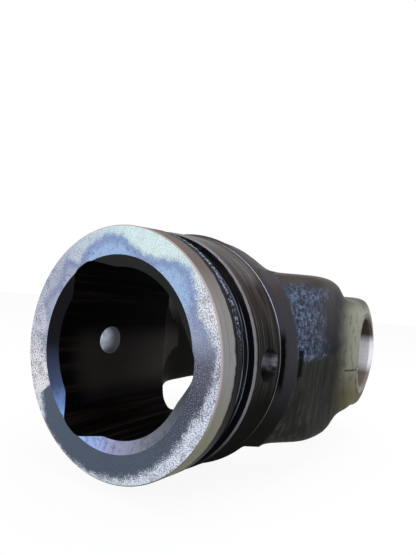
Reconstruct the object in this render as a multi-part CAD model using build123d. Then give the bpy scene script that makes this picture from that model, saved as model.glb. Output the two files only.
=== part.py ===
from build123d import *
import math
import os

# Forged yoke that joins a three-lobed drive tube to a universal-joint cross, in millimetres.
# Y runs along the hub from its mouth face at Y = 0 to the ears. X runs through both ears and the roll-pin
# hole. Z is up, and Z = 0 is the parting plane in which the two forging dies met.

# Hub, turned outside on a slight taper, with a shallow groove that carries the shield's bearing
mouth_radius = 37.0
hub_taper = 4.2
mouth_edge = 0.3
groove_front = 9.3
groove_width = 7.2
groove_depth = 1.5
band_edge = 0.5
band_rear = 31.8
shoulder_radius = 40.2
shoulder_rise = 0.8
hub_length = 50.0
hub_rear_round = 7.0

# Turned flank in front of the arms, and the round forged skin that spreads from it to the arms
flank_angle = 47.0
bell_radius = 43.3
bell_from_mouth = 36.0
bell_angle = 29.0

# Socket for the tube: a round bore with three lobes, the first of them towards +X
socket_radius = 25.2
lobe_depth = 3.8
lobe_width = 6.4
lobe_flank = 50.0
lobe_count = 3
lobe_corner = 6.0
lobe_root = 8.0
countersink_depth = 3.3
countersink_angle = 57.0

# Roll-pin hole through both walls of the hub
pin_radius = 5.0
pin_from_mouth = 24.6

# Fork gap between the arms, with a round bottom that cuts into the rear of the hub
gap_depth = 6.8

# Ears and the bores for the cross; the outer faces close in slightly towards the end
ear_half = 50.7
ear_thickness = 20.7
ear_from_mouth = 103.5
ear_radius = 24.3
ear_toe = 1.2
ear_blend = 12.0
ear_run = 24.5
bore_radius = 15.1
bore_edge_depth = 1.8

# Arms between hub and ears, drafted both ways from the parting plane. Heights step up from the ear to the
# neck and the thick root block, widths step in from the ear to the cheek and the root, and the block ends
# on a slant seen from above. The outer edges of the arms are broken.
draft = 3.5
neck_drop = 1.5
neck_blend = 40.0
root_rise = 7.2
root_fall = 2.4
root_ahead = 1.6
root_to_ear = 35.0
root_round = 6.0
root_slant = 30.0
neck_run = 4.0
neck_round = 3.0
cheek_step = 3.4
cheek_to_ear = 38.5
cheek_round = 30.0
root_step = 3.3
arm_edge = 1.6

# Clearances of the cutting shapes and of the edge selections; edges are broken above edge_height
overshoot = 1.0
near = 0.03
stations = (0.1, 0.5, 0.9)
edge_height = 12.0

groove_rear = groove_front + groove_width
shoulder_from_mouth = band_rear + shoulder_rise
root_front = shoulder_from_mouth - root_ahead
root_end = ear_from_mouth - root_to_ear
cheek_from_mouth = ear_from_mouth - cheek_to_ear
ear_start = ear_from_mouth - ear_run
gap_half = ear_half - ear_thickness
gap_from_mouth = hub_length - gap_depth
groove_radius = mouth_radius + groove_front * math.tan(math.radians(hub_taper)) - groove_depth
lobe_radius = socket_radius + lobe_depth
countersink_radius = socket_radius + countersink_depth
ear_end = ear_from_mouth + ear_radius
neck_height = ear_radius - neck_drop
neck_from_mouth = root_end + neck_run
root_height = neck_height + root_rise
root_front_height = root_height - root_fall
cheek_half = ear_half - cheek_step
root_half = cheek_half - root_step
gap_centre = gap_from_mouth + gap_half
reach = ear_half + gap_half
bell_slope = math.tan(math.radians(bell_angle))


def hub_radius(y):
    """Radius of the tapered hub at a distance from its mouth."""
    return mouth_radius + y * math.tan(math.radians(hub_taper))


def ear_face(y):
    """Half width across the ears at the parting plane, at a distance from the mouth."""
    return ear_half - (y - ear_from_mouth) * math.tan(math.radians(ear_toe))


def corners(shape, **place):
    """Corners of a sketch that lie on the given coordinates."""
    return [v for v in shape.vertices() if all(abs(getattr(v, k) - n) < near for k, n in place.items())]


def edges_on(shape, lies_on):
    """Edges of a solid whose whole length lies on a described surface."""
    return [e for e in shape.edges() if all(lies_on(e @ t) for t in stations)]


def hub_blank():
    """Turned hub with its shield groove, its band and the shoulder behind them."""
    outline = make_face(
        Polyline(
            (0, 0),
            (mouth_radius - mouth_edge, 0),
            (hub_radius(mouth_edge), mouth_edge),
            (hub_radius(groove_front), groove_front),
            (groove_radius, groove_front),
            (groove_radius, groove_rear),
            (hub_radius(groove_rear) - band_edge, groove_rear),
            (hub_radius(groove_rear), groove_rear + band_edge),
            (hub_radius(band_rear), band_rear),
            (shoulder_radius, shoulder_from_mouth),
            (shoulder_radius, hub_length),
            (0, hub_length),
            close=True,
        )
    )
    outline = fillet(corners(outline, X=shoulder_radius, Y=hub_length), hub_rear_round)
    return revolve(outline, axis=Axis.Y)


def plan_outline():
    """Both arms as seen along Z, at the parting plane."""
    half = make_face(
        Polyline(
            (0, root_front),
            (root_half, root_front),
            (cheek_half, cheek_from_mouth),
            (ear_face(ear_start), ear_start),
            (ear_face(ear_end), ear_end + arm_edge),
            (0, ear_end + arm_edge),
            close=True,
        )
    )
    half = fillet(corners(half, X=cheek_half), cheek_round)
    half = fillet(corners(half, X=ear_face(ear_start)), ear_blend)
    return half + mirror(half, about=Plane.YZ)


def ear_height():
    """Upper half of the neck and of the round ear as seen along X, as a prism out through the +X arm."""
    neck = make_face(
        Polyline(
            (root_front, 0),
            (root_front, neck_height),
            (ear_from_mouth, neck_height),
            (ear_from_mouth, 0),
            close=True,
        )
    )
    upper = Pos(ear_from_mouth, reach / 2) * Rectangle(reach, reach)
    outline = neck + (Pos(ear_from_mouth, 0) * Circle(ear_radius) & upper)
    foot = [v for v in corners(outline, Y=neck_height) if v.X > neck_from_mouth]
    outline = fillet(foot, neck_blend)
    return extrude(Plane.YZ * outline, amount=reach)


def root_block():
    """Upper half of the +X arm's thick root, whose end slopes down to the neck, slanted seen from above."""
    slant = math.radians(root_slant)
    across = Plane(
        origin=(root_half, 0, 0),
        x_dir=(-math.sin(slant), math.cos(slant), 0),
        z_dir=(math.cos(slant), math.sin(slant), 0),
    )
    front = (root_front - root_half) * math.cos(slant)
    front_height = root_front_height - root_half * root_fall / (root_end - root_front)
    block_end = root_end * math.cos(slant)
    neck_start = neck_from_mouth * math.cos(slant)
    outline = make_face(
        Polyline(
            (front, 0),
            (front, front_height),
            (block_end, root_height),
            (neck_start, neck_height),
            (neck_start + neck_round, neck_height),
            (neck_start + neck_round, 0),
            close=True,
        )
    )
    outline = fillet(corners(outline, X=block_end), root_round)
    outline = fillet(corners(outline, X=neck_start), neck_round)
    return extrude(across * outline, amount=reach, both=True)


def bell():
    """Solid cone whose surface is the round forged skin between the turned flank and the arms."""
    start = bell_radius - (bell_from_mouth - root_front) * bell_slope
    outline = make_face(
        Polyline(
            (0, root_front),
            (start, root_front),
            (reach, root_front + (reach - start) / bell_slope),
            (reach, ear_end + overshoot),
            (0, ear_end + overshoot),
            close=True,
        )
    )
    return revolve(outline, axis=Axis.Y)


def turned_clearance():
    """What the lathe clears in front of the arms, back to the sloping flank beside the shoulder."""
    slope = math.tan(math.radians(flank_angle))
    outline = make_face(
        Polyline(
            (0, 0),
            (0, shoulder_from_mouth),
            (shoulder_radius, shoulder_from_mouth),
            (reach, shoulder_from_mouth + (reach - shoulder_radius) * slope),
            (reach, 0),
            close=True,
        )
    )
    return revolve(outline, axis=Axis.Y)


def socket():
    """Lobed bore from the mouth into the fork gap, with the countersink that leads the tube in."""
    inner = socket_radius - lobe_root
    spread = (lobe_radius - inner) * math.tan(math.radians(lobe_flank))
    lobe = make_face(
        Polyline(
            (inner, -lobe_width / 2 - spread),
            (lobe_radius, -lobe_width / 2),
            (lobe_radius, lobe_width / 2),
            (inner, lobe_width / 2 + spread),
            close=True,
        )
    )
    lobe = fillet(corners(lobe, X=lobe_radius), lobe_corner)
    profile = Circle(socket_radius) + [Rot(0, 0, k * 360 / lobe_count) * lobe for k in range(lobe_count)]
    roots = [v for v in profile.vertices() if abs(math.hypot(v.X, v.Y) - socket_radius) < near]
    profile = fillet(roots, lobe_root)
    bore = extrude(Plane.XZ * profile, amount=-gap_centre)
    depth = countersink_radius / math.tan(math.radians(countersink_angle))
    lead = make_face(Polyline((0, 0), (countersink_radius, 0), (0, depth), close=True))
    return bore + revolve(lead, axis=Axis.Y)


def fork_gap():
    """Space between the arms, round where it meets the hub."""
    length = ear_end + overshoot - gap_centre
    straight = Pos(0, gap_centre + length / 2) * Rectangle(2 * gap_half, length)
    outline = Pos(0, gap_centre) * Circle(gap_half) + straight
    return extrude(outline, amount=shoulder_radius + overshoot, both=True)


def on_outside(p):
    """Whether a point lies on the outer side of an arm."""
    return abs(p.X) > gap_half + arm_edge


def arms_blank():
    """Both arms: their drafted plan at the height of their side outlines, cut, edged and trimmed."""
    height = ear_height() + root_block()
    height = height + mirror(height, about=Plane.YZ)
    upper = extrude(plan_outline(), amount=root_height + overshoot, taper=draft) & height
    arms = upper + mirror(upper, about=Plane.XY) - fork_gap()
    outer = [e for e in edges_on(arms, on_outside) if abs(e.center().Z) > edge_height]
    arms = chamfer(outer, arm_edge)
    return (arms & bell()) - turned_clearance()


def cross_bores():
    """Bores for the cross through both ears, with a countersunk outer edge."""
    length = ear_half + overshoot
    bore = Cylinder(bore_radius, 2 * length, rotation=(0, 90, 0))
    start = ear_half - bore_edge_depth
    rise = length - start
    edge = Polyline((start, 0), (start, bore_radius), (length, bore_radius + rise), (length, 0), close=True)
    lead = revolve(make_face(edge), axis=Axis.X)
    return Pos(0, ear_from_mouth, 0) * (bore + lead + mirror(lead, about=Plane.YZ))


def pin_hole():
    """Hole for the roll pin through both walls of the hub."""
    length = 2 * (shoulder_radius + overshoot)
    return Pos(0, pin_from_mouth, 0) * Cylinder(pin_radius, length, rotation=(0, 90, 0))


forging = hub_blank() + arms_blank() - fork_gap()
yoke = forging - socket() - cross_bores() - pin_hole()

os.makedirs("parts", exist_ok=True)
export_step(yoke, "parts/yoke.step")
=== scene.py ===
import math

import bpy
import numpy as np
from mathutils import Euler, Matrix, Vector, noise


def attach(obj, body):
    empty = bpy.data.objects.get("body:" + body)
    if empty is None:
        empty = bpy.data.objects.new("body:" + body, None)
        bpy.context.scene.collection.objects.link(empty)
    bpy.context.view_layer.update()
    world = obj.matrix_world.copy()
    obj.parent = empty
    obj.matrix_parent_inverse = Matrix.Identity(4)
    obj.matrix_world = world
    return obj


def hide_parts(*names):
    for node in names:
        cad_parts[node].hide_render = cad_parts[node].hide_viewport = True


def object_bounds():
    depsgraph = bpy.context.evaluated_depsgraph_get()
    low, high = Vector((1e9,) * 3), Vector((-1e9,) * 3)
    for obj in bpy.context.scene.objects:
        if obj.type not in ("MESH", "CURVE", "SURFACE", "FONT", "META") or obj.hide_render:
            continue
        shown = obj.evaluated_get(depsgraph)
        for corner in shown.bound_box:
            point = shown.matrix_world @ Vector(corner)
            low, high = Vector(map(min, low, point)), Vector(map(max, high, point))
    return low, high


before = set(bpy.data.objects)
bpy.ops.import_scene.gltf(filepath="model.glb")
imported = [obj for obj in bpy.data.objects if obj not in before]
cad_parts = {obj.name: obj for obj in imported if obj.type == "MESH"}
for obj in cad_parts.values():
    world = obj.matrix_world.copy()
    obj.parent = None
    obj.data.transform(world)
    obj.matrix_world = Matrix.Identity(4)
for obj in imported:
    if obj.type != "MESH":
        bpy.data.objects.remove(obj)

cad_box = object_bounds()

# The forging: one hot-forged steel yoke, a round hub in front and two drafted arms with bored ears behind.
# Its skin is dipped in thin black varnish after the hub, socket, mouth and bores have been turned or drilled.
# The mesh follows the yoke's solid, divided finely enough to round its forged edges and carry its relief.

MM = 0.001
longest_side = 2.8 * MM
longest_on_hub = 1.5 * MM
longest_on_pad = 1.2 * MM
longest_in_socket = 8.0 * MM
weld_distance = 0.0005 * MM
crease_angle = math.radians(24)
sharp_angle = math.radians(30)
most_rise = 0.06

# Where the sides are kept shorter or longer, and which surfaces are turned, in millimetres: along the yoke
# from its mouth, across it, up from the parting plane, or out from the axis of the hub or of the ear bores
ear_from_mouth = 103.5
turned_to = 33
turned_round_bore = 18
hub_zone_end = 38
hub_zone_inside = 28
hub_zone_outside = 46
pad_zone_across = 40
pad_zone_start = 31
pad_zone_end = 60
pad_zone_height = 11
socket_zone_radius = 29.2
socket_zone_start = 0.05
socket_zone_end = 72

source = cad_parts["yoke"].data
source.calc_loop_triangles()
source_points = np.empty(len(source.vertices) * 3)
source.vertices.foreach_get("co", source_points)
source_faces = np.empty(len(source.loop_triangles) * 3, dtype=np.int64)
source.loop_triangles.foreach_get("vertices", source_faces)


def unit(vectors):
    """Vectors brought to a length of one."""
    return vectors / np.maximum(np.linalg.norm(vectors, axis=-1, keepdims=True), 1e-12)


def welded(points, faces):
    """Joins the corners that meet in one place and drops faces that have no area."""
    keys = np.round(points / weld_distance).astype(np.int64)
    _, first, where = np.unique(keys, axis=0, return_index=True, return_inverse=True)
    faces = where.reshape(-1)[faces]
    kept = (faces[:, 0] != faces[:, 1]) & (faces[:, 1] != faces[:, 2]) & (faces[:, 2] != faces[:, 0])
    return points[first], faces[kept]


def sides_of(faces):
    """Every side of the faces once, and the number of the side after each corner of each face."""
    ends = np.sort(np.stack([faces, np.roll(faces, -1, axis=1)], axis=2).reshape(-1, 2), axis=1)
    count = faces.max() + 1
    keys, where = np.unique(ends[:, 0] * count + ends[:, 1], return_inverse=True)
    return np.stack([keys // count, keys % count], axis=1), where.reshape(-1, 3)


def face_normals(points, faces):
    """Unit normal of each face."""
    corner = points[faces]
    return unit(np.cross(corner[:, 1] - corner[:, 0], corner[:, 2] - corner[:, 0]))


def point_normals(points, faces):
    """Unit normal at each point, from the faces around it."""
    corner = points[faces]
    area = np.cross(corner[:, 1] - corner[:, 0], corner[:, 2] - corner[:, 0])
    total = np.zeros_like(points)
    for k in range(3):
        np.add.at(total, faces[:, k], area)
    return unit(total)


def corner_normals(points, faces):
    """Normal at each corner of each face, smoothed over the neighbours that turn less than a crease."""
    flat = face_normals(points, faces)
    corner = points[faces]
    weight = np.empty(faces.shape)
    for k in range(3):
        one = unit(corner[:, (k + 1) % 3] - corner[:, k])
        two = unit(corner[:, (k + 2) % 3] - corner[:, k])
        weight[:, k] = np.arccos(np.clip((one * two).sum(1), -1, 1))
    at = faces.reshape(-1)
    order = np.argsort(at, kind="stable")
    owner = order // 3
    weight = weight.reshape(-1)[order]
    count = np.bincount(at, minlength=len(points))
    begin = np.concatenate([[0], np.cumsum(count)[:-1]])
    start, size = begin[at[order]], count[at[order]]
    total = np.zeros((len(order), 3))
    for step in range(int(count.max())):
        rows = np.nonzero(step < size)[0]
        other = start[rows] + step
        close = (flat[owner[rows]] * flat[owner[other]]).sum(1) > math.cos(crease_angle)
        rows, other = rows[close], other[close]
        total[rows] += flat[owner[other]] * weight[other][:, None]
    normals = np.empty_like(total)
    normals[order] = unit(total)
    return normals.reshape(-1, 3, 3)


def lifted_middles(points, faces, sides, at_side):
    """Middle of each side, lifted from the chord to the curve that the surface or its edge follows."""
    normals = corner_normals(points, faces)
    corner = at_side.reshape(-1)
    number = np.arange(len(corner))
    first = np.zeros(len(sides), dtype=np.int64)
    last = np.zeros(len(sides), dtype=np.int64)
    first[corner[::-1]] = number[::-1]
    last[corner] = number
    chord = points[sides[:, 1]] - points[sides[:, 0]]
    length = np.linalg.norm(chord, axis=1)
    pair = []
    for chosen in (first, last):
        face, k = chosen // 3, chosen % 3
        here, beyond = normals[face, k], normals[face, (k + 1) % 3]
        same = (faces[face, k] == sides[:, 0])[:, None]
        pair.append((np.where(same, here, beyond), np.where(same, beyond, here)))
    lead = []
    for end in range(2):
        one, two = pair[0][end], pair[1][end]
        across = np.cross(one, two)
        sharp = np.linalg.norm(across, axis=1) > math.sin(crease_angle)
        middle = unit(one + two)
        along_skin = unit(chord - middle * (chord * middle).sum(1)[:, None])
        along_edge = unit(across)
        along_edge = along_edge * np.sign((along_edge * chord).sum(1))[:, None]
        lead.append(np.where(sharp[:, None], along_edge, along_skin) * length[:, None])
    rise = (lead[0] - lead[1]) / 8
    middle = (points[sides[:, 0]] + points[sides[:, 1]]) / 2
    from_bore = np.hypot(middle[:, 1] - ear_from_mouth * MM, middle[:, 2])
    turned_side = (middle[:, 1] < turned_to * MM) | (from_bore < turned_round_bore * MM)
    rise[(np.linalg.norm(rise, axis=1) > most_rise * length) | ~turned_side] = 0
    return middle + rise


def longest_at(middles):
    """Longest side kept at each place: shorter on hub and pads, longer in the socket."""
    x, y, z = abs(middles.T) / MM
    radius = np.hypot(x, z)
    on_hub = (y < hub_zone_end) & (radius > hub_zone_inside) & (radius < hub_zone_outside)
    on_pad = (x > pad_zone_across) & (y > pad_zone_start) & (y < pad_zone_end) & (z < pad_zone_height)
    in_socket = (radius < socket_zone_radius) & (y > socket_zone_start) & (y < socket_zone_end)
    longest = np.full(len(middles), longest_side)
    longest[on_hub] = longest_on_hub
    longest[on_pad] = longest_on_pad
    longest[in_socket] = longest_in_socket
    return longest


def divided(points, faces):
    """Faces whose sides have been halved until none is longer than the mesh keeps there."""
    while True:
        sides, at_side = sides_of(faces)
        length = np.linalg.norm(points[sides[:, 0]] - points[sides[:, 1]], axis=1)
        split = length > longest_at((points[sides[:, 0]] + points[sides[:, 1]]) / 2)
        if not split.any():
            return points, faces
        middles = lifted_middles(points, faces, sides, at_side)
        number = np.full(len(sides), -1)
        number[split] = len(points) + np.arange(split.sum())
        points = np.concatenate([points, middles[split]])
        middle_of = number[at_side]
        marks = (middle_of >= 0).sum(1)
        pieces = [faces[marks == 0]]
        for k in range(3):
            a, b, c = faces[:, k], faces[:, (k + 1) % 3], faces[:, (k + 2) % 3]
            ab, bc, ca = middle_of[:, k], middle_of[:, (k + 1) % 3], middle_of[:, (k + 2) % 3]
            rows = (marks == 1) & (ab >= 0)
            pieces.append(np.stack([a, ab, c], 1)[rows])
            pieces.append(np.stack([ab, b, c], 1)[rows])
            rows = (marks == 2) & (ca < 0)
            pieces.append(np.stack([ab, b, bc], 1)[rows])
            to_c = np.linalg.norm(points[ab] - points[c], axis=1)
            to_a = np.linalg.norm(points[bc] - points[a], axis=1)
            near = rows & (to_c < to_a)
            pieces.append(np.stack([a, ab, c], 1)[near])
            pieces.append(np.stack([ab, bc, c], 1)[near])
            far = rows & (to_c >= to_a)
            pieces.append(np.stack([a, ab, bc], 1)[far])
            pieces.append(np.stack([a, bc, c], 1)[far])
        a, b, c = faces[marks == 3].T
        ab, bc, ca = middle_of[marks == 3].T
        pieces += [np.stack(t, 1) for t in ((a, ab, ca), (ab, b, bc), (ca, bc, c), (ab, bc, ca))]
        faces = np.concatenate(pieces)


points, faces = welded(source_points.reshape(-1, 3), source_faces.reshape(-1, 3))
points, faces = divided(points, faces)
print("yoke mesh:", len(points), "points,", len(faces), "faces")

# The solid's own sizes, in millimetres, as far as the finishes are told apart by them
groove_front = 9.3
groove_rear = 16.5
band_rear = 31.8
countersink_radius = 28.5
countersink_angle = 57.0
pin_radius = 5.0
pin_from_mouth = 24.6
bore_radius = 15.1
bore_edge_depth = 1.8
gap_centre = 73.2

# Where each finish can lie, in millimetres, and how far a face's middle may be from the surface it is on
hair = 0.02
chord_gap = 0.12
pin_gap = 0.2
bore_gap = 0.4
socket_outside = 30.5
countersink_end = 19
outside_from = 34
groove_outside = 37.75
band_inside = 36.3
band_outside = 41
flank_outside = 44
flank_end = 40
flank_facing = 0.58
pin_wall_from = 20
ear_inside = 29
ear_start = 80

# Each face takes one of the finishes that the maker leaves on the forging. Where zones overlap, the later
# one holds, and what no zone takes is forged skin.
finishes = ["face", "countersink", "socket", "rim", "groove", "band", "flank", "skin", "ear_bore", "pin_wall"]
x, y, z = points[faces].mean(axis=1).T / MM
side = abs(x)
radius = np.hypot(x, z)
outside = radius > outside_from
on_band = radius > band_inside
countersink_line = countersink_radius - y * math.tan(math.radians(countersink_angle))
facing_front = -face_normals(points, faces)[:, 1] > flank_facing
near_bore = np.hypot(y - ear_from_mouth, z) < bore_radius + bore_edge_depth + bore_gap
near_pin = abs(np.hypot(y - pin_from_mouth, z) - pin_radius) < pin_gap
zones = [
    ("socket", (radius < socket_outside) & (y < gap_centre)),
    ("rim", outside & (y < groove_front + hair)),
    ("groove", outside & (radius < groove_outside) & (y > groove_front - hair) & (y < groove_rear + hair)),
    ("band", on_band & (radius < band_outside) & (y > groove_rear + hair) & (y < band_rear)),
    ("flank", on_band & (radius < flank_outside) & (y > band_rear) & (y < flank_end) & facing_front),
    ("countersink", (abs(radius - countersink_line) < chord_gap) & (y < countersink_end)),
    ("face", y < hair),
    ("ear_bore", near_bore & (side > ear_inside) & (y > ear_start)),
    ("pin_wall", near_pin & (side > pin_wall_from)),
]
finish = np.full(len(faces), finishes.index("skin"))
for zone, taken in zones:
    finish[taken] = finishes.index(zone)

# The dies leave every forged edge round, so the skin settles to the mean of the skin around it.
# What has been turned or drilled stays crisp.
round_spread = 1.75 * MM
round_passes = 2
turned_hold = 2.2
cell = 1.0 * MM
margin = 9
forged = np.ones(len(points), dtype=bool)
forged[faces[finish != finishes.index("skin")].reshape(-1)] = False
low_cell = np.floor(np.array(cad_box[0]) / cell) - margin
cells = (np.ceil(np.array(cad_box[1]) / cell) + margin - low_cell).astype(int) + 1


def corners_of_cells(points):
    """The eight grid cells round each point, and the share of the point that each one takes."""
    place = points / cell - low_cell
    base = np.floor(place).astype(int)
    part = place - base
    for corner in np.ndindex(2, 2, 2):
        share = np.prod(np.where(np.array(corner) == 1, part, 1 - part), axis=1)
        yield np.ravel_multi_index((base + corner).T, cells), share


def spread(points, amount):
    """The amount that the points carry, spread evenly over the space around them and read at each point."""
    held = np.zeros(cells.prod())
    for at, share in corners_of_cells(points):
        held += np.bincount(at, share * amount, minlength=len(held))
    held = held.reshape(cells)
    for axis in range(3):
        total = held.copy()
        for step in range(1, margin - 1):
            weight = math.exp(-((step * cell / round_spread) ** 2) / 2)
            total += weight * (np.roll(held, step, axis) + np.roll(held, -step, axis))
        held = total
    held = held.reshape(-1)
    return sum(held[at] * share for at, share in corners_of_cells(points))


def rounded(points, faces):
    """Points of the forged skin moved to the mean of the skin around them."""
    corner = points[faces]
    size = np.linalg.norm(np.cross(corner[:, 1] - corner[:, 0], corner[:, 2] - corner[:, 0]), axis=1)
    area = np.bincount(faces.reshape(-1), np.repeat(size, 3), minlength=len(points))
    nearby = spread(points, area)
    mean = np.stack([spread(points, area * points[:, k]) / nearby for k in range(3)], axis=1)
    turned_share = spread(points, area * ~forged) / nearby
    share = np.clip(1 - turned_hold * turned_share, 0, 1) * forged
    return points + (mean - points) * share[:, None]


for step in range(round_passes):
    points = rounded(points, faces)


def waves(points, size, seed):
    """Smooth random heights from -1 to 1 over the skin, with hollows and rises of about the given size."""
    shift = Vector((seed, seed * 0.37, -seed * 0.71))
    return np.array([noise.noise(Vector(p) / (size * MM) + shift) for p in points])


def within(value, low, high, soft):
    """1 between two limits, falling to 0 over a soft edge on either side."""
    return np.clip((value - low) / soft + 0.5, 0, 1) * np.clip((high - value) / soft + 0.5, 0, 1)


# Low relief: the skin's hollows and scale, the flat pad on each arm, the die's slot before it, the chipped
# shoulder behind the band, the ragged walls of the groove and the nicks that handling has left.
hollow_depth = 0.22 * MM
scale_depth = 0.10 * MM
pore_depth = 0.25 * scale_depth
pad_depth = 0.30 * MM
slot_depth = 0.55 * MM
chip_depth = 0.60 * MM
scratch_depth = 0.18 * MM
ragged_depth = 0.22 * MM

# Sizes of the random hollows and rises, in millimetres
hollow_size = 9
scale_size = 1.9
pore_size = 2.6
chip_size = 1.4
ragged_size = 1.1

# Where each mark lies, in millimetres: two limits and the width of their soft edge, or one limit
scale_along = (34, 51, 5)
scale_up = (1.5, 40, 2)
scale_side = 20
pad_start = 41.5
pad_middle = -3.8
pad_round = (-1, 5.0, 0.9)
pad_along = (30, 57.5, 1.5)
pad_side = 40
slot_along = (36.8, 39.2, 0.9)
slot_up = (-4.6, 4.4, 0.9)
scratch_along = (72, 86, 2)
scratch_up = (-5.3, -4.5, 0.7)
scratch_slope = 0.05
scratch_side = 44
chip_along = (31.9, 33.6, 0.8)
chip_up = (-8.5, 8.5, 5)
chip_inside = 39
chip_side = 30
ragged_inside = 36.4
ragged_outside = 39

normals = point_normals(points, faces)
x, y, z = points.T / MM
side = abs(x)
radius = np.hypot(x, z)
sink = np.where(forged, hollow_depth * (1 + waves(points, hollow_size, 3)) / 2, 0)
scale_zone = within(y, *scale_along) * within(z, *scale_up) * (side > scale_side)
sink += np.where(forged, scale_zone * scale_depth * (1 + waves(points, scale_size, 11)), 0)
sink += np.where(forged, pore_depth * (1 + waves(points, pore_size, 17)), 0)
from_pad_middle = np.hypot(np.minimum(y - pad_start, 0), z - pad_middle)
pad = within(from_pad_middle, *pad_round) * within(y, *pad_along) * (side > pad_side)
slot = within(y, *slot_along) * within(z, *slot_up) * (side > pad_side)
beside_scratch = z + (y - scratch_along[0]) * scratch_slope
scratch = within(beside_scratch, *scratch_up) * within(y, *scratch_along) * (side > scratch_side)
sink += np.where(forged, pad * pad_depth + slot * slot_depth + scratch * scratch_depth, 0)
chipped = within(y, *chip_along) * within(z, *chip_up) * (radius > chip_inside) * (side > chip_side)
sink += chipped * chip_depth * (0.7 + 0.3 * waves(points, chip_size, 23))
on_wall = (abs(y - groove_rear) < hair) | (abs(y - groove_front) < hair)
on_wall &= (radius > ragged_inside) & (radius < ragged_outside)
ragged = np.where(on_wall, ragged_depth * waves(points, ragged_size, 31), 0)
points = points - normals * sink[:, None]
points[:, 1] += ragged
points = np.clip(points, np.array(cad_box[0]), np.array(cad_box[1]))

mesh = bpy.data.meshes.new("yoke_forging")
mesh.from_pydata(points.tolist(), [], faces.tolist())
mesh.polygons.foreach_set("material_index", finish.astype(np.int32))
mesh.shade_smooth()
mesh.set_sharp_from_angle(angle=sharp_angle)
yoke = bpy.data.objects.new("yoke_forging", mesh)
bpy.context.scene.collection.objects.link(yoke)
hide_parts("yoke")
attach(yoke, "root")

# The mouth face: bare steel, faced off square in the lathe, then blasted and partly grey with preservative.
# A ragged line runs round it, partly a tide line, partly a painted reflection: pale speckled steel outside,
# a smoother blue-grey film towards the bore. Its brightness round the mouth is painted light and shade.


def screen(red, green, blue):
    """A colour given as screen values from 0 to 255, as a shader takes it."""
    parts = [c / 255 for c in (red, green, blue)]
    return tuple(c / 12.92 if c < 0.04 else ((c + 0.055) / 1.055) ** 2.4 for c in parts) + (1.0,)


def node(tree, kind, inputs=None, **settings):
    """A shader node with its settings; each of its inputs is a plain value or another node's output."""
    made = tree.nodes.new("ShaderNode" + kind)
    for name, value in settings.items():
        setattr(made, name, value)
    for name, value in (inputs or {}).items():
        if isinstance(value, bpy.types.NodeSocket):
            tree.links.new(value, made.inputs[name])
        else:
            made.inputs[name].default_value = value
    return made


def calc(tree, operation, one, two=0.0, three=0.0, **settings):
    """Result of one sum on numbers or outputs."""
    return node(tree, "Math", {0: one, 1: two, 2: three}, operation=operation, **settings).outputs[0]


def times(tree, *values):
    """Product of two or more numbers or outputs."""
    product = values[0]
    for value in values[1:]:
        product = calc(tree, "MULTIPLY", product, value)
    return product


def fade(tree, value, start, end):
    """0 at the start value and 1 at the end value, with a smooth change between them."""
    inputs = {"Value": value, "From Min": start, "From Max": end}
    return node(tree, "MapRange", inputs, interpolation_type="SMOOTHSTEP").outputs["Result"]


def between(tree, value, low, high, soft):
    """1 between two limits, falling smoothly to 0 outside them."""
    rise = fade(tree, value, low - soft / 2, low + soft / 2)
    fall = fade(tree, value, high + soft / 2, high - soft / 2)
    return times(tree, rise, fall)


def mixed(tree, share, one, two):
    """Colour one turning into colour two as the share goes from 0 to 1."""
    made = node(tree, "Mix", {0: share, 6: one, 7: two}, data_type="RGBA")
    return made.outputs[2]


def ramp(tree, value, stops):
    """Colour or height that follows a row of stops, each a place from 0 to 1 and a colour or a number."""
    made = node(tree, "ValToRGB", {"Fac": value})
    marks = made.color_ramp.elements
    for number, (place, colour) in enumerate(stops):
        mark = marks[number] if number < 2 else marks.new(place)
        mark.position = place
        mark.color = colour if isinstance(colour, tuple) else (colour, colour, colour, 1)
    return made.outputs["Color"]


def turn(degrees):
    """An angle round the hub, from -180 to 180 degrees, as a place on a ramp."""
    return (degrees + 180) / 360


def places(tree):
    """Where a point lies, in millimetres: the point itself, along, across and up, and round the hub."""
    object_place = node(tree, "TexCoord").outputs["Object"]
    point = node(tree, "VectorMath", {0: object_place, "Scale": 1000.0}, operation="SCALE").outputs[0]
    split = node(tree, "SeparateXYZ", {0: point})
    across, along, up = split.outputs[0], split.outputs[1], split.outputs[2]
    angle = calc(tree, "ARCTAN2", up, across)
    squares = calc(tree, "ADD", times(tree, across, across), times(tree, up, up))
    return {
        "point": point,
        "across": across,
        "side": calc(tree, "ABSOLUTE", across),
        "along": along,
        "up": up,
        "radius": calc(tree, "SQRT", squares),
        "turn": calc(tree, "ADD", calc(tree, "DIVIDE", angle, 2 * math.pi), 0.5),
    }


def grain(tree, point, size, detail=2.0, roughness=0.5):
    """Random cloud from 0 to 1, with clouds of about the given size in millimetres."""
    inputs = {"Vector": point, "Scale": 1 / size, "Detail": detail, "Roughness": roughness}
    return node(tree, "TexNoise", inputs).outputs[0]


def stray(tree, point, size, reach, detail=2.0, roughness=0.5):
    """Random cloud round zero that goes to half the reach on either side."""
    return times(tree, calc(tree, "SUBTRACT", grain(tree, point, size, detail, roughness), 0.5), reach)


def drawn_out(tree, point, factors):
    """The point with each coordinate multiplied: a cloud grows longer along one with a small factor."""
    return node(tree, "VectorMath", {0: point, 1: factors}, operation="MULTIPLY").outputs[0]


def effect(name, sockets_in, sockets_out):
    """An empty node group with named inputs and outputs, and its two end nodes."""
    tree = bpy.data.node_groups.new(name, "ShaderNodeTree")
    for socket, value in sockets_in.items():
        made = tree.interface.new_socket(socket, in_out="INPUT", socket_type="NodeSocketFloat")
        made.default_value = value
    for socket in sockets_out:
        tree.interface.new_socket(socket, in_out="OUTPUT", socket_type="NodeSocketFloat")
    return tree, tree.nodes.new("NodeGroupInput"), tree.nodes.new("NodeGroupOutput")


def use(tree, group, **values):
    """One use of a node group in a material, with its own values."""
    return node(tree, "Group", values, node_tree=group).outputs


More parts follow.
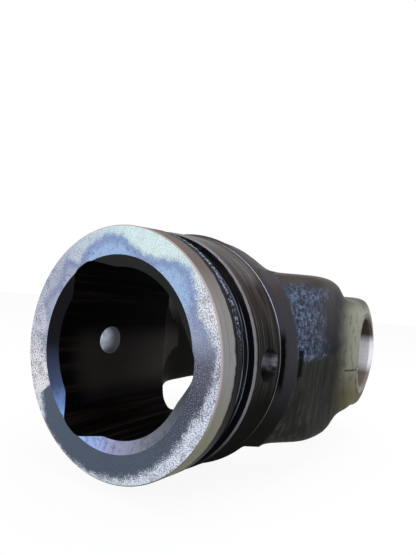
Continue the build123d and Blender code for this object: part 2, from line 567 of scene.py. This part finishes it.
def finished(name, surface, **settings):
    """Adds a material to the yoke's mesh; surface builds its nodes and returns what feeds the shader."""
    material = bpy.data.materials.new(name)
    material.use_nodes = True
    tree = material.node_tree
    shader = tree.nodes["Principled BSDF"]
    for socket, value in settings.items():
        shader.inputs[socket.replace("_", " ")].default_value = value
    made = surface(tree)
    tree.links.new(made["colour"], shader.inputs["Base Color"])
    if "coat" in made:
        tree.links.new(made["coat"], shader.inputs["Coat Weight"])
    if "roughness" in made:
        tree.links.new(made["roughness"], shader.inputs["Roughness"])
    if "height" in made:
        inputs = {"Height": made["height"], "Distance": made["depth"] * MM, "Strength": 1.0}
        bump = node(tree, "Bump", inputs)
        tree.links.new(bump.outputs["Normal"], shader.inputs["Normal"])
    mesh.materials.append(material)


# Speckle: small ragged dark grains in bare blasted steel.
speckle, ends_in, ends_out = effect("steel_speckle", {"Size": 0.45, "Amount": 0.5}, ["Mask", "Height"])
spot = places(speckle)["point"]
per_size = calc(speckle, "DIVIDE", 1.0, ends_in.outputs["Size"])
fine_inputs = {"Vector": spot, "Scale": per_size, "Detail": 2.0, "Roughness": 0.6}
fine = node(speckle, "TexNoise", fine_inputs).outputs[0]
level = calc(speckle, "ADD", fine, stray(speckle, spot, 3.2, 0.5))
limit = calc(speckle, "SUBTRACT", 0.86, times(speckle, ends_in.outputs["Amount"], 0.5))
over = calc(speckle, "MULTIPLY", calc(speckle, "SUBTRACT", level, limit), 9.0, use_clamp=True)
speckle.links.new(over, ends_out.inputs["Mask"])
speckle.links.new(fine, ends_out.inputs["Height"])

# Share of pale nicks in the film, by the angle round the mouth in degrees.
mottle_round = [
    (-180, 0.5), (-156, 0.4), (-150, 0.05), (-75, 0.06), (-45, 0.2), (-25, 0.35), (-5, 0.45), (15, 0.4),
    (34, 0.35), (60, 0.15), (120, 0.2), (150, 0.45), (180, 0.5),
]

# Radius of the ragged line (tide line and painted reflection) by the angle round the mouth, in millimetres.
reflection_edge_low = 26.0
reflection_edge_span = 14.0
reflection_edge_line = [
    (-180, 30.5), (-168, 28.3), (-155, 28.0), (-152, 29.0), (-150.5, 33.5), (-144, 34.2), (-135, 36.7),
    (-110, 36.6), (-98, 36.0), (-80, 35.0), (-60, 34.0), (-45, 33.0), (-28, 32.5), (-10, 34.0), (6, 35.4),
    (15, 34.0), (25, 31.8), (34, 33.8), (44, 35.5), (53, 34.0), (62, 31.0), (71, 30.3), (80, 31.5),
    (88, 34.0), (97, 35.0), (111, 33.6), (122, 30.0), (130, 35.0), (143, 31.2), (157, 34.0), (169, 28.5),
    (180, 30.5),
]

# Colours outside and inside the line, with painted light and shade round the mouth, and the share of dark
# specks, by the same angle.
outer_steel_and_light = [
    (-180, screen(214, 215, 226)), (-168, screen(236, 234, 240)), (-155, screen(238, 236, 242)),
    (-148, screen(214, 220, 230)), (-100, screen(222, 230, 242)), (-30, screen(220, 228, 242)),
    (-4, screen(206, 212, 226)), (12, screen(222, 226, 236)), (30, screen(230, 233, 238)),
    (46, screen(206, 224, 226)), (60, screen(212, 231, 231)), (85, screen(210, 230, 231)),
    (100, screen(198, 218, 226)), (118, screen(192, 203, 217)), (142, screen(180, 187, 205)),
    (165, screen(202, 206, 222)), (180, screen(214, 215, 226)),
]
specks_round = [
    (-180, 1.0), (-168, 1.0), (-152, 0.7), (-140, 0.7), (-60, 0.75), (-20, 0.95), (10, 0.95), (35, 0.7),
    (50, 0.3), (95, 0.25), (120, 0.5), (145, 0.8), (180, 1.0),
]
inner_film_and_reflection = [
    (-180, screen(150, 158, 176)), (-164, screen(140, 150, 170)), (-152, screen(74, 85, 101)),
    (-60, screen(72, 83, 98)), (-42, screen(66, 74, 90)), (-14, screen(60, 65, 80)),
    (-7, screen(76, 76, 92)), (2, screen(84, 86, 104)), (14, screen(140, 150, 176)),
    (27, screen(150, 164, 194)), (34, screen(152, 178, 216)), (112, screen(154, 180, 218)),
    (120, screen(150, 164, 194)), (134, screen(160, 166, 190)), (164, screen(160, 166, 190)),
    (180, screen(150, 158, 176)),
]
film_halo_highlight = screen(104, 118, 162)
dark_speck = screen(72, 72, 96)
film_pepper = screen(66, 72, 94)
pale_nick = screen(225, 228, 232)


def face_steel(tree):
    """Nodes of the mouth face."""
    at = places(tree)
    reflection_edge_ramp = ramp(tree, at["turn"], [(turn(a), (r - reflection_edge_low) / reflection_edge_span) for a, r in reflection_edge_line])
    edge = calc(tree, "MULTIPLY_ADD", reflection_edge_ramp, reflection_edge_span, reflection_edge_low)
    ragged = stray(tree, at["point"], 2.2, 3.4, 3.0)
    frayed = stray(tree, at["point"], 0.32, 6.0, 2.0, 0.6)
    strayed = calc(tree, "ADD", calc(tree, "ADD", at["radius"], ragged), frayed)
    beyond = calc(tree, "SUBTRACT", strayed, edge)
    outside = fade(tree, beyond, -0.9, 0.9)
    # Painted highlight: a lighter halo just inside the line, on the upper half of the face.
    halo_highlight = between(tree, beyond, -2.6, -0.3, 2.2)
    lit_upper_half = fade(tree, at["up"], 4.0, 14.0)
    # The film's colour round the mouth holds painted reflection and shade.
    film_and_light = ramp(tree, at["turn"], [(turn(a), c) for a, c in inner_film_and_reflection])
    film_and_light = mixed(tree, times(tree, halo_highlight, lit_upper_half, 0.6), film_and_light, film_halo_highlight)
    cloud = times(tree, fade(tree, grain(tree, at["point"], 1.4, 3.0), 0.5, 0.75), 0.45)
    film_and_light = mixed(tree, cloud, film_and_light, dark_speck)
    # The outer steel's colour round the mouth is lighter and darker as painted light.
    steel = ramp(tree, at["turn"], [(turn(a), c) for a, c in outer_steel_and_light])
    coarse = use(tree, speckle, Size=0.60, Amount=0.62)
    fine = use(tree, speckle, Size=0.35, Amount=0.66)
    specks = calc(tree, "MAXIMUM", coarse["Mask"], times(tree, fine["Mask"], 0.8))
    crowd = ramp(tree, at["turn"], [(turn(a), level) for a, level in specks_round])
    specks = times(tree, specks, crowd)
    steel = mixed(tree, times(tree, specks, 0.75), steel, dark_speck)
    pepper = fade(tree, grain(tree, at["point"], 0.42, 2.0, 0.7), 0.47, 0.60)
    steel = mixed(tree, times(tree, pepper, crowd, 0.8), steel, dark_speck)
    film_and_light = mixed(tree, times(tree, pepper, 0.34), film_and_light, film_pepper)
    near_film = fade(tree, grain(tree, at["point"], 0.34, 3.0, 0.7), 0.52, 0.68)
    mottle = ramp(tree, at["turn"], [(turn(a), level) for a, level in mottle_round])
    film_and_light = mixed(tree, times(tree, near_film, mottle), film_and_light, pale_nick)
    height = calc(tree, "ADD", times(tree, outside, fine["Height"]), times(tree, specks, -0.4))
    return {
        "colour": mixed(tree, outside, film_and_light, steel),
        "roughness": calc(tree, "MULTIPLY_ADD", outside, 0.2, 0.42),
        "height": height,
        "depth": 0.12,
    }


finished("blasted_face", face_steel, Metallic=0.35, Specular_IOR_Level=0.05, Roughness=0.5)

# The countersink: a cone turned into the mouth to lead the tube in, cut through by the three lobes.
# Bare bluish steel; its colour round the mouth is painted light and shade, bright low in the mouth where it
# faces up and dark above where it faces down.

cone_light_and_shade = [
    (-180, screen(18, 18, 24)), (-168, screen(44, 50, 72)), (-150, screen(62, 74, 106)),
    (-136, screen(108, 138, 192)), (-114, screen(150, 182, 236)), (-96, screen(152, 170, 220)),
    (-84, screen(150, 152, 186)), (-66, screen(130, 132, 152)), (-52, screen(110, 114, 126)),
    (-30, screen(90, 96, 106)), (-16, screen(72, 77, 83)), (6, screen(46, 50, 53)),
    (16, screen(30, 33, 33)), (116, screen(30, 34, 33)), (136, screen(17, 17, 22)),
    (180, screen(18, 18, 24)),
]
cone_dark = screen(52, 56, 72)


def cone_steel(tree):
    """Nodes of the countersink."""
    at = places(tree)
    # Painted light and shade: the cone's colour by the angle round the mouth.
    bare_and_light = ramp(tree, at["turn"], [(turn(a), c) for a, c in cone_light_and_shade])
    squeezed = drawn_out(tree, at["point"], (1.0, 0.25, 0.35))
    marks = fade(tree, grain(tree, squeezed, 0.5, 3.0), 0.48, 0.72)
    blotch = fade(tree, grain(tree, at["point"], 2.4, 3.0), 0.48, 0.7)
    share = calc(tree, "ADD", times(tree, marks, 0.35), times(tree, blotch, 0.3))
    low = fade(tree, at["up"], 4.0, -10.0)
    return {
        "colour": mixed(tree, times(tree, share, low), bare_and_light, cone_dark),
        "height": marks,
        "depth": 0.05,
    }


finished("turned_cone", cone_steel, Metallic=0.25, Specular_IOR_Level=0.06, Roughness=0.42)

# The socket: the lobed bore, broached along the hub's axis and black with dried varnish.
# Thin brown runs follow the broach's strokes, a few specks of bare steel show through, and a painted
# brown-grey sheen lies on the lower wall near the mouth.

socket_black = screen(4, 4, 5)
socket_sheen = screen(60, 57, 56)
socket_run = screen(58, 48, 42)
socket_speck = screen(110, 106, 100)
socket_sheen_up = (-17.0, 2.0, 12.0)


def socket_varnish(tree):
    """Nodes of the socket's wall."""
    at = places(tree)
    strokes = drawn_out(tree, at["point"], (1.0, 0.04, 1.0))
    runs = fade(tree, grain(tree, strokes, 2.6, 3.0, 0.6), 0.46, 0.78)
    # Painted sheen on the lower wall near the mouth.
    sheen = times(tree, between(tree, at["up"], *socket_sheen_up), fade(tree, at["along"], 4.0, 16.0))
    specks = fade(tree, grain(tree, at["point"], 0.7, 1.0), 0.82, 0.85)
    film_and_light = mixed(tree, times(tree, sheen, 0.75), socket_black, socket_sheen)
    colour = mixed(tree, times(tree, runs, 0.35), film_and_light, socket_run)
    return {"colour": mixed(tree, specks, colour, socket_speck), "height": runs, "depth": 0.04}


finished("socket_varnish", socket_varnish, Specular_IOR_Level=0.01, Roughness=0.6)

# The rim: the turned land in front of the groove, bare khaki steel to its middle and varnished behind.
# The khaki is painted light and shade, lighter at the right and darker at the left.
# Its front corner is broken, with a painted highlight on its upper half. The varnish starts in a ragged line;
# its turned lines carry a painted sheen; bluish chips near the groove are partly painted reflections.

bare_to = 6.0
# Painted light and shade: the bare steel's colour by the angle round the rim.
khaki_light_and_shade = [
    (-180, screen(40, 38, 36)), (-95, screen(60, 58, 54)), (-60, screen(98, 100, 82)),
    (-25, screen(122, 122, 108)), (0, screen(138, 137, 140)), (25, screen(136, 133, 134)),
    (45, screen(106, 96, 93)), (75, screen(96, 86, 84)), (110, screen(80, 73, 71)), (180, screen(40, 38, 36)),
]
land_black = screen(28, 27, 28)
land_sheen = screen(58, 55, 54)
corner_highlight = screen(196, 180, 178)
chip_blue_and_reflection = screen(150, 164, 200)
land_chips_along = (7.7, 9.4, 0.8)

# Turned lines: the fine screw that a lathe tool leaves round the hub.
turned, ends_in, ends_out = effect("turned_lines", {"Spacing": 0.5}, ["Line"])
spot = places(turned)
loose = times(turned, grain(turned, spot["point"], 7.0), 0.9)
phase = calc(turned, "DIVIDE", calc(turned, "ADD", spot["along"], loose), ends_in.outputs["Spacing"])
strands = node(turned, "CombineXYZ", {0: phase, 1: times(turned, spot["turn"], 6.0)}).outputs[0]
line = grain(turned, strands, 1.0, 2.0, 0.6)
turned.links.new(line, ends_out.inputs["Line"])


def rim_steel(tree):
    """Nodes of the rim."""
    at = places(tree)
    wander = stray(tree, at["point"], 3.0, 1.4, 3.0)
    varnished = fade(tree, calc(tree, "ADD", at["along"], wander), bare_to - 0.3, bare_to + 0.4)
    bare_and_light = ramp(tree, at["turn"], [(turn(a), c) for a, c in khaki_light_and_shade])
    lines = use(tree, turned, Spacing=0.45)["Line"]
    bare_and_light = mixed(tree, times(tree, fade(tree, lines, 0.5, 0.75), 0.35), bare_and_light, land_black)
    grains = use(tree, speckle, Size=0.4, Amount=0.42)["Mask"]
    bare_and_light = mixed(tree, times(tree, grains, 0.3), bare_and_light, land_black)
    # Painted highlight along the broken front corner, on the upper half.
    corner = times(tree, fade(tree, at["along"], 0.75, 0.3), fade(tree, at["up"], -22.0, 0.0))
    bare_and_light = mixed(tree, times(tree, corner, 0.6), bare_and_light, corner_highlight)
    # Painted sheen along the varnish's turned lines.
    varnish = mixed(tree, fade(tree, lines, 0.45, 0.75), land_black, land_sheen)
    # Chips of bare steel near the groove, partly painted reflections, on the upper half.
    chips = times(tree, between(tree, at["along"], *land_chips_along), fade(tree, at["up"], 2.0, 16.0))
    chips = times(tree, chips, fade(tree, grain(tree, at["point"], 0.8, 3.0, 0.7), 0.50, 0.60))
    varnish = mixed(tree, times(tree, chips, 0.8), varnish, chip_blue_and_reflection)
    return {"colour": mixed(tree, varnished, bare_and_light, varnish), "height": lines, "depth": 0.04}


finished("rim_steel", rim_steel, Metallic=0.15, Specular_IOR_Level=0.01, Roughness=0.45)

# The groove: the shallow seat that the guard's bearing ring snaps into, turned and then varnished black.
# Its floor carries thin bluish painted reflections at the right, its upper part warm painted reflections,
# and its walls are ragged.

groove_black = screen(17, 18, 22)
groove_shine = screen(150, 158, 178)
groove_warm_reflection = screen(96, 84, 84)
groove_shine_up = (-14.0, 22.0, 14.0)
clear_varnish = {"Coat_Roughness": 0.2, "Coat_IOR": 1.3}


def groove_varnish(tree):
    """Nodes of the groove."""
    at = places(tree)
    lines = use(tree, turned, Spacing=0.9)["Line"]
    # Painted reflections in thin bluish lines on the floor, at the right.
    side_light = times(tree, between(tree, at["up"], *groove_shine_up), fade(tree, at["across"], 0.0, 20.0))
    shine = times(tree, fade(tree, lines, 0.52, 0.64), side_light)
    on_floor = fade(tree, at["along"], groove_rear - 0.3, groove_rear - 1.2)
    shine = times(tree, shine, on_floor, 0.6)
    colour = mixed(tree, shine, groove_black, groove_shine)
    # Painted warm reflections along the turned lines on the upper part.
    upper = times(tree, fade(tree, at["up"], 12.0, 30.0), fade(tree, lines, 0.42, 0.7))
    colour = mixed(tree, times(tree, upper, 0.4), colour, groove_warm_reflection)
    coat = times(tree, fade(tree, at["up"], 2.0, 30.0), 0.5)
    return {"colour": colour, "coat": coat, "height": lines, "depth": 0.08}


finished("groove_varnish", groove_varnish, Specular_IOR_Level=0.0, Roughness=0.4, **clear_varnish)

# The band: the wide turned ring behind the groove, black varnish over fine turned lines.
# It carries painted brown reflections above, painted grey reflections at the side and a pale painted
# highlight high up. Both of its edges are worn and carry thin painted highlights, bluish along the upper
# rear edge.

band_black = screen(24, 24, 23)
band_brown_reflection = screen(76, 58, 56)
band_grey_reflection = screen(92, 92, 90)
band_pale_highlight = screen(104, 104, 106)
edge_wear_and_highlight = screen(134, 134, 140)
edge_blue_highlight = screen(190, 204, 236)
band_grey_reflection_up = (-8.0, 16.0, 10.0)
band_pale_highlight_up = (24.0, 32.0, 5.0)
band_pale_highlight_along = (20.0, 29.0, 4.0)


def band_varnish(tree):
    """Nodes of the band."""
    at = places(tree)
    lines = use(tree, turned, Spacing=1.6)["Line"]
    fine = use(tree, turned, Spacing=0.4)["Line"]
    # Painted brown reflections on the upper part.
    brown_reflection = times(tree, fade(tree, at["up"], 8.0, 24.0), fade(tree, lines, 0.4, 0.66))
    colour = mixed(tree, times(tree, brown_reflection, 0.8), band_black, band_brown_reflection)
    # Painted grey reflections at the side.
    grey_reflection = times(tree, between(tree, at["up"], *band_grey_reflection_up), fade(tree, fine, 0.46, 0.68))
    colour = mixed(tree, times(tree, grey_reflection, 0.7), colour, band_grey_reflection)
    # Painted pale highlight high up.
    pale_highlight_patch = times(tree, between(tree, at["up"], *band_pale_highlight_up), between(tree, at["along"], *band_pale_highlight_along))
    colour = mixed(tree, times(tree, pale_highlight_patch, fade(tree, fine, 0.4, 0.7)), colour, band_pale_highlight)
    # Both edges: worn, and painted as highlights except low down.
    wander = stray(tree, at["point"], 1.5, 0.5)
    edge_place = calc(tree, "ADD", at["along"], wander)
    rear = fade(tree, edge_place, band_rear - 0.55, band_rear - 0.2)
    front = fade(tree, edge_place, groove_rear + 0.9, groove_rear + 0.4)
    worn_and_lit_edges = times(tree, calc(tree, "MAXIMUM", rear, front), fade(tree, at["up"], -34.0, -8.0))
    colour = mixed(tree, times(tree, worn_and_lit_edges, 0.8), colour, edge_wear_and_highlight)
    # Painted bluish highlight along the upper rear edge.
    bright = times(tree, rear, fade(tree, at["up"], 4.0, 18.0))
    colour = mixed(tree, bright, colour, edge_blue_highlight)
    gloss = calc(tree, "MULTIPLY_ADD", lines, 0.25, 0.2)
    coat = times(tree, fade(tree, at["up"], 4.0, 34.0), 0.5)
    return {"colour": colour, "coat": coat, "roughness": gloss, "height": lines, "depth": 0.06}


finished("band_varnish", band_varnish, Specular_IOR_Level=0.0, Coat_Roughness=0.22, Coat_IOR=1.3)

# The flank: the step and sloping flank where the lathe tool ran out against the forged skin of the arms.
# Smooth and black, painted lighter in the upper part as the light falls, with painted brown reflections along
# its top and painted shade in a chipped hollow close behind the band.

flank_lit_grey = screen(58, 57, 63)
flank_brown_reflection = screen(70, 50, 44)
flank_shaded_black = screen(24, 24, 23)
shade_and_scratch_black = screen(6, 6, 7)
crescent_shade_up = (-8.5, 9.0, 5.0)


def flank_varnish(tree):
    """Nodes of the flank."""
    at = places(tree)
    fine = use(tree, turned, Spacing=0.5)["Line"]
    # Painted light and shade: lighter above, darker below.
    colour = mixed(tree, fade(tree, at["up"], -22.0, 6.0), flank_shaded_black, flank_lit_grey)
    colour = mixed(tree, times(tree, fade(tree, fine, 0.45, 0.7), 0.12), colour, flank_shaded_black)
    # Painted brown reflections in clouds along the top.
    reflection_cloud = fade(tree, grain(tree, at["point"], 3.0, 3.0), 0.4, 0.6)
    brown_reflection = times(tree, fade(tree, at["up"], 17.0, 27.0), reflection_cloud, 0.8)
    colour = mixed(tree, brown_reflection, colour, flank_brown_reflection)
    # Painted shade in the chipped hollow behind the band.
    crescent_shade = times(tree, between(tree, at["up"], *crescent_shade_up), fade(tree, at["along"], 33.6, 33.0))
    crescent_shade = times(tree, crescent_shade, fade(tree, at["side"], 30.0, 34.0))
    coat = times(tree, fade(tree, at["up"], 4.0, 34.0), 0.5)
    return {"colour": mixed(tree, crescent_shade, colour, shade_and_scratch_black), "coat": coat, "height": fine, "depth": 0.012}


finished("flank_varnish", flank_varnish, Specular_IOR_Level=0.01, Roughness=0.4, **clear_varnish)

# The forged skin of hub, arms and ears: black scale under varnish, smooth below the parting line.
# Above it the scale is rough, with painted bluish highlights on its flecks and a painted glint along the
# line.
# The ears carry painted reflections, pale in the middle, olive below and brown on top; the tops of the arms
# carry a painted brown reflection. The inner faces of the fork and the slot before each pad are painted
# shade, and a scratch on each ear is drawn dark.

skin_smooth = screen(36, 36, 35)
skin_streak = screen(54, 54, 52)
skin_upper = screen(36, 34, 39)
skin_grain = screen(48, 46, 53)
scale_dark = screen(48, 55, 70)
scale_fleck_highlight = screen(132, 148, 180)
ear_pale_reflection = screen(142, 145, 130)
ear_olive_reflection = screen(90, 84, 60)
ear_brown_reflection = screen(66, 58, 52)
ear_cloud = screen(60, 58, 50)
gap_shade = screen(12, 13, 9)
top_brown_reflection = screen(74, 64, 56)

# Where the skin changes, in millimetres: the start and the end of a change, or two limits and a soft edge
parting_line = (0.6, 2.4)
arm_side = (24.0, 34.0)
scale_end = (62.0, 42.0)
glint_up = (0.4, 2.6, 1.6)
ear_side = (43.0, 46.5)
ear_along = (64.0, 80.0)
gap_shade_side = (33.0, 30.2)
mark_side = (40.0, 42.0)
slot_shade_along = (36.8, 39.4, 0.8)
slot_shade_up = (-4.4, 4.2, 1.0)
scratch_dark_along = (72.5, 85.5, 2.0)
scratch_dark_up = (-5.2, -4.6, 0.6)


def forged_skin(tree):
    """Nodes of the forged skin."""
    at = places(tree)
    drift = stray(tree, at["point"], 6.0, 14.0, 3.0)
    step = stray(tree, at["point"], 2.0, 2.4)
    above = fade(tree, calc(tree, "ADD", at["up"], step), *parting_line)
    on_arm = fade(tree, at["side"], *arm_side)
    near_hub = fade(tree, calc(tree, "ADD", at["along"], drift), *scale_end)
    rough = times(tree, above, on_arm, near_hub)
    grains = grain(tree, at["point"], 1.3, 6.0, 0.78)
    clouds = grain(tree, at["point"], 3.4, 3.0)
    streaks = grain(tree, drawn_out(tree, at["point"], (1.0, 1.0, 0.12)), 1.6, 3.0)
    smooth = mixed(tree, fade(tree, streaks, 0.45, 0.7), skin_smooth, skin_streak)
    upper = mixed(tree, fade(tree, grains, 0.45, 0.68), skin_upper, skin_grain)
    colour = mixed(tree, times(tree, above, on_arm), smooth, upper)
    # Painted bluish highlights on the rough scale's flecks.
    fleck_highlights = mixed(tree, fade(tree, grains, 0.42, 0.64), scale_dark, scale_fleck_highlight)
    fleck_highlights = mixed(tree, times(tree, fade(tree, clouds, 0.44, 0.6), 0.7), fleck_highlights, scale_dark)
    colour = mixed(tree, rough, colour, fleck_highlights)
    # Painted glint in flecks along the parting line.
    glint = times(tree, on_arm, near_hub, between(tree, at["up"], *glint_up))
    glint = times(tree, glint, fade(tree, grains, 0.48, 0.62), 0.5)
    colour = mixed(tree, glint, colour, scale_fleck_highlight)
    # Painted brown reflection along the tops of the arms.
    brown_reflection = times(tree, fade(tree, at["up"], 23.0, 26.5), fade(tree, at["along"], 80.0, 74.0))
    colour = mixed(tree, brown_reflection, colour, mixed(tree, grains, top_brown_reflection, skin_smooth))
    # The ears' colour is painted reflection: pale in the middle, olive below, brown on top.
    ear = mixed(tree, fade(tree, at["up"], 2.0, -16.0), ear_pale_reflection, ear_olive_reflection)
    ear = mixed(tree, fade(tree, at["up"], 17.0, 23.0), ear, ear_brown_reflection)
    ear = mixed(tree, times(tree, fade(tree, clouds, 0.5, 0.72), 0.5), ear, ear_cloud)
    toward_ear = fade(tree, calc(tree, "ADD", at["along"], times(tree, drift, 0.4)), *ear_along)
    on_ear = times(tree, toward_ear, fade(tree, at["side"], *ear_side))
    colour = mixed(tree, on_ear, colour, ear)
    # Painted shade toward the middle, on the inner faces of the fork.
    colour = mixed(tree, fade(tree, at["side"], *gap_shade_side), colour, gap_shade)
    # Painted shade in the slot before each pad; the scratch on each ear is drawn dark with the same black.
    in_slot = between(tree, at["along"], *slot_shade_along)
    in_slot = times(tree, in_slot, between(tree, at["up"], *slot_shade_up))
    slant = calc(tree, "MULTIPLY_ADD", at["along"], scratch_slope, -scratch_along[0] * scratch_slope)
    scratched = between(tree, calc(tree, "ADD", at["up"], slant), *scratch_dark_up)
    scratched = times(tree, scratched, between(tree, at["along"], *scratch_dark_along))
    marks = times(tree, calc(tree, "MAXIMUM", in_slot, scratched), fade(tree, at["side"], *mark_side))
    colour = mixed(tree, times(tree, marks, 0.85), colour, shade_and_scratch_black)
    gloss = calc(tree, "ADD", times(tree, above, 0.14), times(tree, rough, 0.12))
    gloss = calc(tree, "ADD", calc(tree, "ADD", gloss, 0.30), times(tree, clouds, 0.12))
    height = times(tree, grains, calc(tree, "ADD", times(tree, rough, 0.9), 0.25))
    coat = times(tree, above, fade(tree, at["up"], 0.0, 26.0), 0.5)
    return {"colour": colour, "coat": coat, "roughness": gloss, "height": height, "depth": 1.5}


finished("forged_skin", forged_skin, Specular_IOR_Level=0.01, Coat_Roughness=0.35, Coat_IOR=1.3)

# The ear bores: bored through both ears for the cross, with a turned lead at the outer edge.
# Bare steel with a painted bright reflection just below the middle, brownish above and under it.

bore_low = -17.0
bore_high = 17.0
# Painted reflection: the bore's colour by height, brightest just below the middle.
bore_reflection_colours = [
    (0.0, screen(112, 102, 94)), (0.2, screen(124, 113, 106)), (0.33, screen(244, 246, 255)),
    (0.5, screen(250, 252, 255)), (0.6, screen(238, 238, 250)), (0.72, screen(70, 64, 56)),
    (0.9, screen(52, 47, 40)), (1.0, screen(60, 54, 46)),
]
bore_speck = screen(58, 54, 52)


def bore_steel(tree):
    """Nodes of the ear bores."""
    at = places(tree)
    limits = {"Value": at["up"], "From Min": bore_low, "From Max": bore_high}
    height = node(tree, "MapRange", limits).outputs["Result"]
    colour = ramp(tree, height, bore_reflection_colours)
    spots = use(tree, speckle, Size=0.7, Amount=0.45)
    colour = mixed(tree, times(tree, spots["Mask"], 0.5), colour, bore_speck)
    return {"colour": colour, "height": spots["Height"], "depth": 0.05}


finished("bore_steel", bore_steel, Metallic=0.3, Specular_IOR_Level=0.2, Roughness=0.4)

# The pin hole: drilled across both walls of the hub for the roll pin, steel with varnish run into it.
# A painted band of light crosses the near hole's middle. The hole in the far wall, which shows through the
# mouth, is painted brighter than the near one, most towards its outer end.

pin_lit_steel = screen(150, 152, 162)
pin_far_lit = screen(236, 244, 255)
pin_speckled = screen(104, 104, 112)
pin_dark = screen(28, 27, 28)
pin_lit_up = (-1.8, 2.4, 2.4)


def pin_wall_steel(tree):
    """Nodes of the pin hole's wall."""
    at = places(tree)
    # Painted light: a lit band across the middle of the near hole.
    lit = between(tree, at["up"], *pin_lit_up)
    blotch = fade(tree, grain(tree, at["point"], 2.4, 3.0), 0.30, 0.65)
    colour = mixed(tree, times(tree, lit, blotch), pin_dark, pin_lit_steel)
    # Painted light: the far hole brighter, most towards its outer end.
    far = mixed(tree, fade(tree, at["side"], 27.0, 33.0), pin_speckled, pin_far_lit)
    far = mixed(tree, times(tree, blotch, 0.3), far, pin_speckled)
    colour = mixed(tree, fade(tree, at["across"], 0.0, -10.0), colour, far)
    return {"colour": colour, "height": blotch, "depth": 0.05}


finished("pin_wall", pin_wall_steel, Metallic=0.2, Specular_IOR_Level=0.2, Roughness=0.45)

# The floor: a plain white board under the yoke, which keeps its faint shadow. It isn't a piece of the yoke.
# The camera sees it almost as plain white, so that it runs into the white surroundings.

floor_height = -0.0402
floor_reach = 3.0
board_white = (0.92, 0.92, 0.92, 1)
plain_white = (1, 1, 1, 1)
plain_share = 0.93
floor_corners = [(a * floor_reach, b * floor_reach) for a, b in ((-1, -1), (1, -1), (1, 1), (-1, 1))]
floor_mesh = bpy.data.meshes.new("floor")
floor_mesh.from_pydata([(*corner, floor_height) for corner in floor_corners], [], [(0, 1, 2, 3)])
floor = bpy.data.objects.new("floor", floor_mesh)
bpy.context.scene.collection.objects.link(floor)


def seen_straight(tree):
    """1 for what the camera sees, straight or in a mirror or through glass, and 0 for light thrown on."""
    path = node(tree, "LightPath")
    seen = calc(tree, "MAXIMUM", path.outputs["Is Camera Ray"], path.outputs["Is Glossy Ray"])
    return calc(tree, "MAXIMUM", seen, path.outputs["Is Transmission Ray"])


floor_white = bpy.data.materials.new("floor_white")
floor_white.use_nodes = True
tree = floor_white.node_tree
board = tree.nodes["Principled BSDF"]
board.inputs["Base Color"].default_value = board_white
board.inputs["Roughness"].default_value = 0.7
plain = node(tree, "Emission", {"Color": plain_white, "Strength": 1.0})
share = times(tree, seen_straight(tree), plain_share)
joined = node(tree, "MixShader", {0: share, 1: board.outputs[0], 2: plain.outputs[0]})
tree.links.new(joined.outputs[0], tree.nodes["Material Output"].inputs["Surface"])
floor_mesh.materials.append(floor_white)

# Light and camera: a wide lamp above and to the right, a weaker one in front, and white surroundings that
# give little light of their own. The camera stands where the photograph was taken from.

soft_strength = 0.5
world = bpy.data.worlds.new("surroundings")
bpy.context.scene.world = world
world.use_nodes = True
tree = world.node_tree
soft = tree.nodes["Background"]
soft.inputs["Strength"].default_value = soft_strength
soft.inputs["Color"].default_value = plain_white
white = node(tree, "Background", {"Color": plain_white, "Strength": 1.0})
joined = node(tree, "MixShader", {0: seen_straight(tree), 1: soft.outputs[0], 2: white.outputs[0]})
tree.links.new(joined.outputs[0], tree.nodes["World Output"].inputs["Surface"])


def lamp(name, place, aim, size, watts):
    """A soft square lamp that points at a place on the yoke."""
    data = bpy.data.lights.new(name, "AREA")
    data.size = size
    data.energy = watts
    thing = bpy.data.objects.new(name, data)
    thing.location = place
    thing.rotation_euler = (Vector(aim) - Vector(place)).to_track_quat("-Z", "Y").to_euler()
    bpy.context.scene.collection.objects.link(thing)
    return thing


lamp("overhead", (0.25, 0.1, 0.8), (0, 0.05, 0), 0.7, 5.0)
front = lamp("front", (-0.15, -0.8, 0.35), (0, 0, 0), 0.6, 4.0)
front.visible_glossy = False

# The camera as fitted to the photograph: its place in metres and its turn round X, Y and Z in degrees
camera_place = (0.085716, -0.085749, 0.017165)
camera_turn = (89.452, -4.62, 30.697)
view = bpy.data.cameras.new("camera")
view.sensor_fit = "VERTICAL"
view.sensor_height = 36.0
view.lens = 26.605
view.shift_x = -0.02061
view.shift_y = 0.05127
view.clip_start = 0.005
camera = bpy.data.objects.new("camera", view)
camera.location = camera_place
camera.rotation_euler = Euler([math.radians(degrees) for degrees in camera_turn], "XYZ")
bpy.context.scene.collection.objects.link(camera)
bpy.context.scene.camera = camera
bpy.context.scene.view_settings.view_transform = "Standard"
